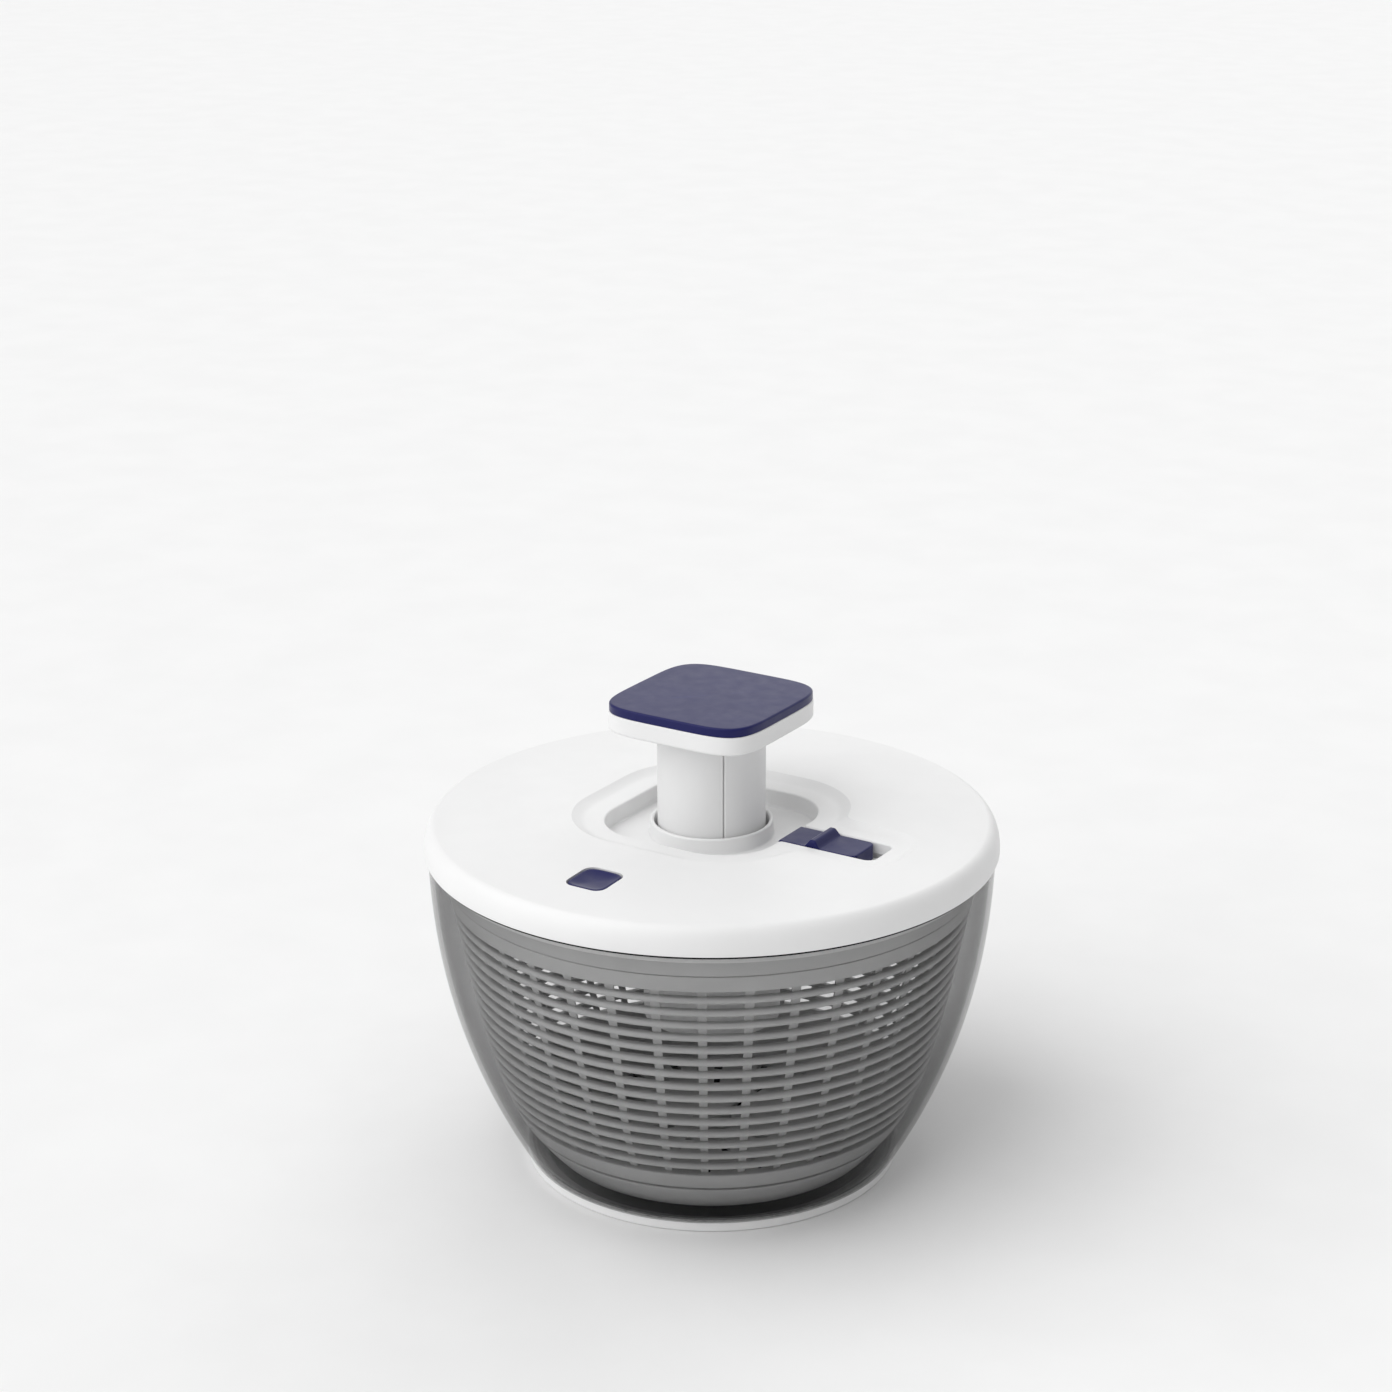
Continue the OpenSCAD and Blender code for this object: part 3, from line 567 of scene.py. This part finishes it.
def make_basket(material):
    """A slotted floor with two bands, fifteen half-round rings, a rim band and the ribs between them."""
    pitch, first_z, count = 6.36, 36.9, 15
    half, band_gap = 1.45, 1.4  # half a ring's height, and how far a band's edge lies inside its pitch
    low, floor_top, floor_r, rim = 7.6, 9.6, 68.5, 149.0
    hub, bore, hub_top, hub_wall = 9.0, 5.55, 17.0, 1.0
    slots = [(18, 30, 8, 4), (38, 50, 12, 2), (56, 68, 18, 2)]  # from, to, how many, columns wide
    cage = Cage()

    # Floor with the two bands that stand on it
    break_low = [(r, low) for a, b, _, _ in slots for r in (a, b)]
    break_top = [(r, floor_top) for a, b, _, _ in reversed(slots) for r in (b, a)]
    band_top = first_z - pitch + band_gap
    outline = rounded([(0, hub_top - hub_wall, 0), (bore, hub_top - hub_wall, 0), (bore, low, 0.3)], 3, False)
    outline += break_low
    outline += rounded([(floor_r, low, 0), basket_point(low, 0, 1.4), basket_point(12)], 4, False)[1:]
    outline += [(basket_radius(z), z) for z in (15, 18.5)]
    groove_low, groove_high = 21.6, 23.6
    outline += rounded([basket_point(18.5), basket_point(groove_low, 0.5, 0.3),
                        (basket_radius(groove_low + 0.2) - 0.9, groove_low + 0.3, 0),
                        basket_point(groove_high - 0.3, -0.9), basket_point(groove_high, 0.5, 0.3),
                        basket_point(27, 0.6), basket_point(band_top, 0.4, 0.6),
                        basket_point(band_top, -RIB_OUT)], 4, False)[1:]
    mid_edge = len(outline) - 1
    outline.append((basket_radius(band_top) - RING_IN, band_top))
    outline += [(basket_radius(z) - WALL_IN, z) for z in (28, 24, 20)]
    outline += rounded([basket_point(20, -WALL_IN), basket_point(floor_top, -WALL_IN, 5),
                        (floor_r, floor_top, 0)], 6, False)[1:-1]
    top_start = len(outline)
    outline += break_top
    outline += rounded([(slots[0][0], floor_top, 0), (hub, floor_top, 1), (hub, hub_top, 0.8),
                        (0, hub_top, 0)], 4, False)[1:]
    cage.section(outline, looped=False)
    low_start = outline.index(break_low[0])
    for k, (a, b, number, wide) in enumerate(slots):
        bottom = low_start + 2 * k
        top = top_start + 2 * (len(slots) - 1 - k)
        for i in range(number):
            start = round(i * COLUMNS / number) - wide // 2
            cage.bridge((bottom, bottom + 1), (top + 1, top), range(start, start + wide))

    # The rings, and after the last one the rim band
    groove = 138.7  # height of the fine step in the rim band
    notch_r = 121.65  # the notches in the rim end here and leave an outer skin
    edge_below = (mid_edge, mid_edge + 1)
    for i in range(count + 1):
        z = first_z + pitch * i
        start = len(cage.rows)
        if i < count:
            r = basket_radius(z)
            bend = [math.radians(a) for a in range(-90, 91, 18)]
            bead = [(r - half + half * math.cos(a), z + half * math.sin(a)) for a in bend]
            outline = [(r - RING_IN, z - half), (r - RIB_OUT, z - half), *bead,
                       (r - RIB_OUT, z + half), (r - RING_IN, z + half)]
        else:
            z = z - band_gap
            outline = rounded([basket_point(z, -RING_IN), basket_point(z, -RIB_OUT),
                               basket_point(z, 0.2, 0.5), basket_point(groove - 0.4, 0.2, 0.25),
                               basket_point(groove, -0.45), basket_point(groove + 0.4, 0.55, 0.4),
                               basket_point(144, 0.55), basket_point(rim, 0.5, 0.5),
                               (notch_r + 0.05, rim, 0), (notch_r - 0.05, rim, 0),
                               basket_point(rim, -WALL_IN, 0.7), basket_point(140, -WALL_IN)], 4)
        cage.section(outline)
        inner, outer = start, start + 1
        for rib in range(0, 360, RIB_PITCH):
            c = rib // RIB_STEP
            cage.bridge(edge_below, (outer, inner), range(c, c + 1))
        edge_below = (len(cage.rows) - 2, len(cage.rows) - 1)

    points, faces = cage.mesh()
    # Notches that the rotor's lugs drop into: the rim is pressed almost flat there
    notch_floor, notch_pitch, reach, flattened = 145.4, 30, 3.1, 0.04
    away = (np.arange(COLUMNS) - 0.5) * RIB_STEP % notch_pitch
    away = np.minimum(away, notch_pitch - away)
    x, y, z = np.moveaxis(points, 2, 0)
    notched = (z > notch_floor) & (np.hypot(x, y) < notch_r) & (away < reach)
    points[:, :, 2] = np.where(notched, notch_floor + (z - notch_floor) * flattened, z)
    add_piece("slotted_basket", points.reshape(-1, 3), faces, body="basket", slot="grey_plastic",
              material=material, nodes=["basket"], weighted=False)


# ---- Lid ----

EDGE_R, EDGE_Z, DOME_Z, DOME_POWER = 124.0, 164.2, 167.0, 4.0
POCKET, POCKET_CORNER, POCKET_Z = 42.0, 26, 156.0  # half its side, its corners' radius, its floor
SLOT_END, SLOT_HALF, SLOT_CORNER = 88.5, 10.4, 4.5  # the slider's slot, which opens into the pocket
DISH, DISH_CORNER, DISH_Z = 57.0, 41, 164.2
TONGUE_END, TONGUE_HALF, TONGUE_CORNER = 99.5, 22.3, 16  # the dish reaches this far round the slot


def dome(radius):
    """Height of the lid's top."""
    return EDGE_Z + (DOME_Z - EDGE_Z) * (1 - np.clip(radius / EDGE_R, 0, 1) ** DOME_POWER)


def box_distance(x, y, x0, x1, half_y, corner):
    """Signed distance to a round-cornered rectangle, negative inside."""
    qx = np.abs(x - (x0 + x1) / 2) - (x1 - x0) / 2 + corner
    qy = np.abs(y) - half_y + corner
    return np.hypot(np.maximum(qx, 0), np.maximum(qy, 0)) + np.minimum(np.maximum(qx, qy), 0) - corner


def join_smooth(a, b, blend):
    """The smaller of two distances, with the crease between them rounded."""
    h = np.clip(0.5 + 0.5 * (b - a) / blend, 0, 1)
    return b * (1 - h) + a * h - blend * h * (1 - h)


def opening(x, y):
    """Signed distance to the pocket with its slider slot."""
    pocket = box_distance(x, y, -POCKET, POCKET, POCKET, POCKET_CORNER)
    slot = box_distance(x, y, 10, SLOT_END, SLOT_HALF, SLOT_CORNER)
    return join_smooth(pocket, slot, blend=2.0)


def dish_edge(x, y):
    """Signed distance to the outline of the dished band."""
    square = box_distance(x, y, -DISH, DISH, DISH, DISH_CORNER)
    tongue = box_distance(x, y, 0, TONGUE_END, TONGUE_HALF, TONGUE_CORNER)
    return join_smooth(square, tongue, blend=6.0)


def reach_of(field, angles, level):
    """Radius at each angle where field first rises past level, seen from outside."""
    low, high = np.full(len(angles), 20.0), np.full(len(angles), EDGE_R - 1)
    for _ in range(40):
        middle = (low + high) / 2
        inside = field(middle * np.cos(angles), middle * np.sin(angles)) < level
        low, high = np.where(inside, middle, low), np.where(inside, high, middle)
    return (low + high) / 2


def dish_height(x, y, radius):
    """Height of the dished band: almost level beside the pocket, then a bank up to the dome."""
    bank_start, level_rise = 0.62, 0.2
    near = np.maximum(opening(x, y), 0)
    far = np.maximum(-dish_edge(x, y), 0)
    share = np.clip(near / (near + far + 1e-6), 0, 1)
    bank = np.clip((share - bank_start) / (1 - bank_start), 0, 1)
    rise = level_rise * share + (1 - level_rise) * bank**1.5
    return DISH_Z + (dome(radius) - DISH_Z) * rise


def quarter(step, start=0):
    """Angles from start to 90 degrees in radians, step degrees apart."""
    return [math.radians(a) for a in range(start, 91, step)]


def make_lid(material):
    """The cover as one skin: rim, dome, dish, pocket and collar, and back out along the underside."""
    fine = np.arange(-18, 18, 0.2)  # degrees: the narrow slot needs closer columns
    coarse = np.arange(18, 342, 0.6)
    angles = np.radians(np.concatenate([fine, coarse]))
    c, s = np.cos(angles), np.sin(angles)

    def row(radius, z):
        radius = np.broadcast_to(np.asarray(radius, float), c.shape)
        return np.column_stack([radius * c, radius * s, np.broadcast_to(np.asarray(z, float), c.shape)])

    def level(field, value):
        return reach_of(field, angles, value)

    def dish_row(radius, drop=0.0):
        return row(radius, dish_height(radius * c, radius * s, radius) - drop)

    wall, rim_reach, rim_drop = 2.4, 6, 11.2
    collar_in, collar_out, collar_top, tub_low = 26.0, 28.0, 163.2, 153.6
    rim_r = EDGE_R + rim_reach
    rows = [row(rim_r - wall, SEAM), row(rim_r - 0.4, SEAM),
            row(rim_r - 0.12, SEAM + 0.12), row(rim_r, SEAM + 0.4)]
    for t in quarter(6):
        rows.append(row(EDGE_R + rim_reach * math.cos(t), EDGE_Z + rim_drop * (math.sin(t) - 1)))
    outline = level(dish_edge, 0.0)
    for k in range(1, 13):
        share = 1 - k / 13
        radius = outline + (EDGE_R - outline) * share
        rows.append(row(radius, dome(radius)))
    lip = 0.8
    inner = level(opening, lip)
    steps = 22
    for k in range(steps + 1):
        share = 0.5 + 0.5 * math.cos(math.pi * k / steps)
        rows.append(dish_row(inner + (outline - inner) * share))
    for t in quarter(18, start=18):
        rows.append(row(level(opening, lip * (1 - math.sin(t))), DISH_Z - lip * (1 - math.cos(t))))
    rows.append(row(level(opening, 0), DISH_Z - lip - 0.4))
    rows.append(row(level(opening, 0), POCKET_Z + 1.4))
    for t in quarter(30):
        rows.append(row(level(opening, -1 + math.cos(t)), POCKET_Z + 1 - math.sin(t)))
    foot, fillet = level(opening, -1), 0.8
    for share in (0.96, 0.75, 0.5, 0.25, 0.06):
        rows.append(row(collar_out + fillet + (foot - collar_out - fillet) * share, POCKET_Z))
    for t in quarter(30):
        rows.append(row(collar_out + fillet * (1 - math.sin(t)), POCKET_Z + fillet * (1 - math.cos(t))))
    for a in range(0, 181, 20):
        t = math.radians(a)
        rows.append(row((collar_in + collar_out) / 2 + math.cos(t), collar_top - 1 + math.sin(t)))
    rows.append(row(collar_in, tub_low))

    # The underside, back out to the edge
    back = level(opening, wall)
    rows += [row(back, tub_low), row(back, DISH_Z - wall)]
    for share in (0.2, 0.4, 0.6, 0.8, 1.0):
        rows.append(dish_row(back + (outline + 2 - back) * share, wall))
    for share in (0.3, 0.6, 1.0):
        radius = outline + 2 + (EDGE_R - wall - outline - 2) * share
        rows.append(row(radius, dome(radius) - wall))
    for t in reversed(quarter(18)[:-1]):
        drop = (rim_drop - wall) * (math.sin(t) - 1)
        rows.append(row(EDGE_R - wall + rim_reach * math.cos(t), EDGE_Z - wall + drop))
    lid = add_loft("domed_lid", rows, True, body="lid", slot="white_plastic", material=material,
                   nodes=["lid_cover"])

    # The button's hole, the slot for the slider's peg and the undercut for the slider's flange
    button = (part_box("brake_button")[0].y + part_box("brake_button")[1].y) / 2 / MM
    cut_out(lid, box_outline(-9.9, 9.9, button - 10.4, button + 10.4, 4.8), 150, 175)
    cut_out(lid, box_outline(51, 72, -2.6, 2.6), 150, 158)
    undercut = SLOT_HALF + 1.2
    cut_out(lid, box_outline(42.5, SLOT_END - 3, -undercut, undercut), 156.3, 158.9)


def make_seal(black):
    """The thin line between the lid and the bowl."""
    low, high = (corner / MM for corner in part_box("lid_seal"))
    inner = 125.0
    outline = rounded([(inner, low.z, 0.2), (high.x, low.z, 0.4),
                       (high.x, high.z, 0.3), (inner, high.z, 0.2)])
    add_turned("rim_seal", outline, columns=256, body="lid", slot="black_rubber", material=black,
               nodes=["lid_seal"])


# ---- Knob ----


def square_row(half, z, power=5.0):
    """A squircle as wide as it is deep."""
    return squircle(half, half, z, power)


def make_pad(navy):
    """A square pad with soft edges and a slightly raised middle."""
    low, high = (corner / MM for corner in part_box("knob_pad"))
    half, edge, crown = high.x, 0.9, 0.12
    rows = [square_row(0.01, low.z), square_row(half * 0.7, low.z), square_row(half - 0.5, low.z),
            square_row(half - 0.12, low.z + 0.12), square_row(half, low.z + 0.5),
            square_row(half, high.z - edge - 0.3)]
    for t in quarter(15):
        inset = edge * (1 - math.cos(t))
        rows.append(square_row(half - inset, high.z - crown - edge * (1 - math.sin(t))))
    for share in (0.96, 0.85, 0.65, 0.4, 0.2, 0.0003):
        rows.append(square_row((half - edge) * share, high.z - crown + crown * (1 - share**2)))
    add_loft("soft_pad", rows, False, body="plunger", slot="navy_plastic", material=navy, nodes=["knob_pad"])


def make_plate(white):
    """The plate under the pad, hollow below."""
    low, high = (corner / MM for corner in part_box("knob_plate"))
    half, wall, inner_top, sleeve = high.x, 2.4, high.z - 1.7, 24.5
    round_low, round_high, round_inner = 1.3, 0.5, 1.5
    rows = [square_row(0.01, inner_top), square_row(12, inner_top, 2), square_row(sleeve, inner_top, 2)]
    for t in quarter(30):
        inset = wall + round_inner * (1 - math.sin(t))
        rows.append(square_row(half - inset, inner_top - round_inner * (1 - math.cos(t))))
    rows += [square_row(half - wall, low.z + 0.5), square_row(half - wall + 0.4, low.z)]
    for t in quarter(15):
        inset = round_low * (1 - math.sin(t))
        rows.append(square_row(half - inset, low.z + round_low * (1 - math.cos(t))))
    rows += [square_row(half, low.z + round_low + 0.4), square_row(half, high.z - round_high - 0.3)]
    for t in quarter(18):
        inset = round_high * (1 - math.cos(t))
        rows.append(square_row(half - inset, high.z - round_high * (1 - math.sin(t))))
    for share in (0.7, 0.3, 0.0003):
        rows.append(square_row((half - round_high) * share, high.z))
    add_loft("hollow_plate", rows, False, body="plunger", slot="white_plastic", material=white,
             nodes=["knob_plate"])


def make_sleeve(white):
    """Two half shells with a chamfered seam; the rear one has the lock's two windows."""
    low, high = (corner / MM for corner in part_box("sleeve_front"))
    outer, inner, chamfer, gap = 24.46, 22.4, 0.65, 0.14
    seam = -45  # degrees
    window_half, window_height, windows = 4.7, 2.5, (200.9, 149.0)
    halves = (("sleeve_half_front", "sleeve_front", seam - 180), ("sleeve_half_rear", "sleeve_rear", seam))
    for name, node, start in halves:
        first = math.radians(start) + gap / outer
        last = math.radians(start + 180) - gap / outer
        arc = [math.radians(start + t) for t in range(2, 180, 2)]
        arc = [first + chamfer / outer, *arc, last - chamfer / outer]
        plan = [((outer - chamfer) * math.cos(first), (outer - chamfer) * math.sin(first))]
        plan += [(outer * math.cos(a), outer * math.sin(a)) for a in arc]
        plan += [((outer - chamfer) * math.cos(last), (outer - chamfer) * math.sin(last))]
        plan += [(inner * math.cos(a), inner * math.sin(a)) for a in [last, *reversed(arc[1:-1]), first]]
        n = len(plan)
        levels = [low.z, low.z + 40, high.z - 4, high.z]
        points = [(x, y, z) for z in levels for x, y in plan]
        faces = [(k * n + i, k * n + (i + 1) % n, (k + 1) * n + (i + 1) % n, (k + 1) * n + i)
                 for k in range(len(levels) - 1) for i in range(n)]
        # The end faces are strips between the outer and the inner arc
        for base in (0, (len(levels) - 1) * n):
            faces += [(base + i, base + i + 1, base + n - 2 - i, base + n - 1 - i) for i in range(n // 2 - 1)]
        piece = add_piece(name, points, faces, body="plunger", slot="white_plastic", material=white,
                          nodes=[node])
        if node == "sleeve_rear":
            for z in windows:
                cut_out(piece, box_outline(15, 35, -window_half, window_half), z, z + window_height)


# ---- Slider and button ----


def fall_off(depth, radius):
    """How far a quarter-round edge of that radius has fallen, depth in from the end."""
    past = max(0.0, radius - depth)
    return radius - math.sqrt(max(0.0, radius**2 - past**2))


def make_slider(navy):
    """A flat tongue with a ridge for the thumb, square at its inner end and rounded at its outer one."""
    low, high = (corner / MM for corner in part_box("lock_slider"))
    inner, outer, half, bottom, top = low.x, high.x, 9.9, 157.2, 163.9
    ridge, ridge_high, ridge_top, ridge_foot = 57.8, 3.2, 0.7, 4.2  # place, height, half widths
    corner, edge = 3.4, 0.7
    places = [inner + edge * (1 - math.cos(t)) for t in quarter(18)]
    places += list(np.linspace(inner + 2, ridge - ridge_foot - 0.6, 8))
    places += list(np.linspace(ridge - ridge_foot, ridge + ridge_foot, 25))
    places += list(np.linspace(ridge + ridge_foot + 0.6, outer - corner, 8))
    places += [outer - corner + corner * math.sin(t) for t in quarter(10, start=10)]
    rows = []
    for u in places:
        inner_drop, outer_drop = (fall_off(depth, edge) for depth in (u - inner, outer - u))
        narrow = fall_off(outer - u, corner)
        away = min(1.0, max(0.0, (abs(u - ridge) - ridge_top) / (ridge_foot - ridge_top)))
        lift = 1 - away * away * (3 - 2 * away)
        z = top - inner_drop - outer_drop + ridge_high * lift
        v = half - narrow - inner_drop * 0.6
        lean, top_corner = 0.25 * lift, 0.6 + 0.5 * lift
        section = rounded([(-v, bottom, 0.3), (v, bottom, 0.3),
                           (v - lean, z, top_corner), (-v + lean, z, top_corner)])
        rows.append(np.array([(u, y, h) for y, h in section]))
    first, last = (np.tile(row.mean(0), (len(row), 1)) for row in (rows[0], rows[-1]))
    piece = add_loft("ridged_slider", [first, *rows, last], False, body="lock", slot="navy_plastic",
                     material=navy, nodes=["lock_slider"])

    # The flange that runs in the lid's undercut, and the peg down to the latch bar
    cut_out(piece, box_outline(inner + 5, outer - 4, -11.2, 11.2, 0.5), 157.7, 158.7, "UNION")
    cut_out(piece, box_outline(57, 63, -2, 2, 0.4), 149.4, 158, "UNION")


def make_button(navy):
    """A dished button with a flange under the lid and a stem below it."""
    low, high = (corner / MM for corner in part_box("brake_button"))
    middle = (low.y + high.y) / 2
    half_x, half_y, top, power = 9.5, 10.0, dome(-middle) - 0.2, 4.2
    stem_r, stem_low, flange, flange_low, flange_top = 3, 151, 11.4, 158.0, 160.4
    edge, dish_depth, dish_share = 0.7, 1.15, 0.95
    rows = []

    def ring(x, y, z, lean=0.0):
        """A row at height z; with lean it follows the slope of the lid."""
        row = squircle(x, y, z, power, 120)
        row[:, 1] += middle
        row[:, 2] += lean * (dome(np.hypot(row[:, 0], row[:, 1])) - dome(-middle))
        rows.append(row)

    ring(0.01, 0.01, stem_low)
    ring(stem_r, stem_r, stem_low)
    ring(stem_r, stem_r, flange_low)
    ring(flange, flange + 0.5, flange_low)
    ring(flange, flange + 0.5, flange_top)
    ring(half_x, half_y, flange_top)
    ring(half_x, half_y, top - edge - 0.4, 1)
    for t in quarter(18):
        inset = edge * (1 - math.cos(t))
        ring(half_x - inset, half_y - inset, top - edge * (1 - math.sin(t)), 1)
    for share in (dish_share, 0.88, 0.8, 0.65, 0.5, 0.35, 0.2, 0.0005):
        sink = dish_depth * (1 - (share / dish_share) ** 2.4)
        ring((half_x - edge) * share, (half_y - edge) * share, top - sink, 1)
    add_loft("dished_button", rows, False, body="brake", slot="navy_plastic", material=navy,
             nodes=["brake_button"])


# ---- Everything together ----


def dress_cad(materials):
    """Gives each CAD node that still shows its procedural material."""
    slots = {part["node"]: part["material_slot"] for part in frame["record"]["subparts"]}
    for name, node in frame["nodes"].items():
        chosen = materials.get(name) or materials[slots[name]]
        if node.material_slots:
            node.material_slots[0].material = chosen
        else:
            node.data.materials.append(chosen)


white = plastic("white_satin", (0.81, 0.81, 0.81), 0.42, tint=0.008, wear=0.2, lighter=0.1,
                Specular_IOR_Level=0.45)
grey = plastic("basket_grey", (0.46, 0.46, 0.46), 0.4, tint=0.03, wear=0.35, lighter=0.3)
navy = plastic("navy_soft_touch", (0.005, 0.006, 0.08), 0.46, tint=0.03, grain_mm=0.3, depth_mm=0.015,
               lighter=0.8, Sheen_Weight=0.4, Sheen_Roughness=0.35, Specular_IOR_Level=0.25)
black = rubber("seal_rubber", (0.006, 0.006, 0.006))
ribbed = rubber("grip_rubber", (0.4, 0.4, 0.4))
mechanism = plastic("mechanism_satin", (0.7, 0.7, 0.7), 0.45, soft_edge=0.3)
acetal = plastic("acetal_satin", (0.62, 0.6, 0.52), 0.35, tint=0.03, soft_edge=0.3)
steel = metal("turned_steel", (0.62, 0.63, 0.65), 0.28, (1, 1, 12))
wire = metal("spring_wire", (0.55, 0.56, 0.58), 0.25, (1, 1, 1))

make_camera()
make_studio()
make_bowl(smoke_clear("bowl_smoke"))
make_foot(white)
make_grip(ribbed)
make_mat(black)
make_basket(grey)
make_lid(white)
make_seal(black)
make_pad(navy)
make_plate(white)
make_sleeve(white)
make_slider(navy)
make_button(navy)
dress_cad({
    "white_plastic": white, "grey_plastic": grey, "navy_plastic": navy, "black_rubber": black,
    "grip_rubber": ribbed, "mechanism_plastic": mechanism, "acetal": acetal, "steel": steel,
    "bowl_clear": mechanism, "return_spring": wire, "brake_spring": wire,
})
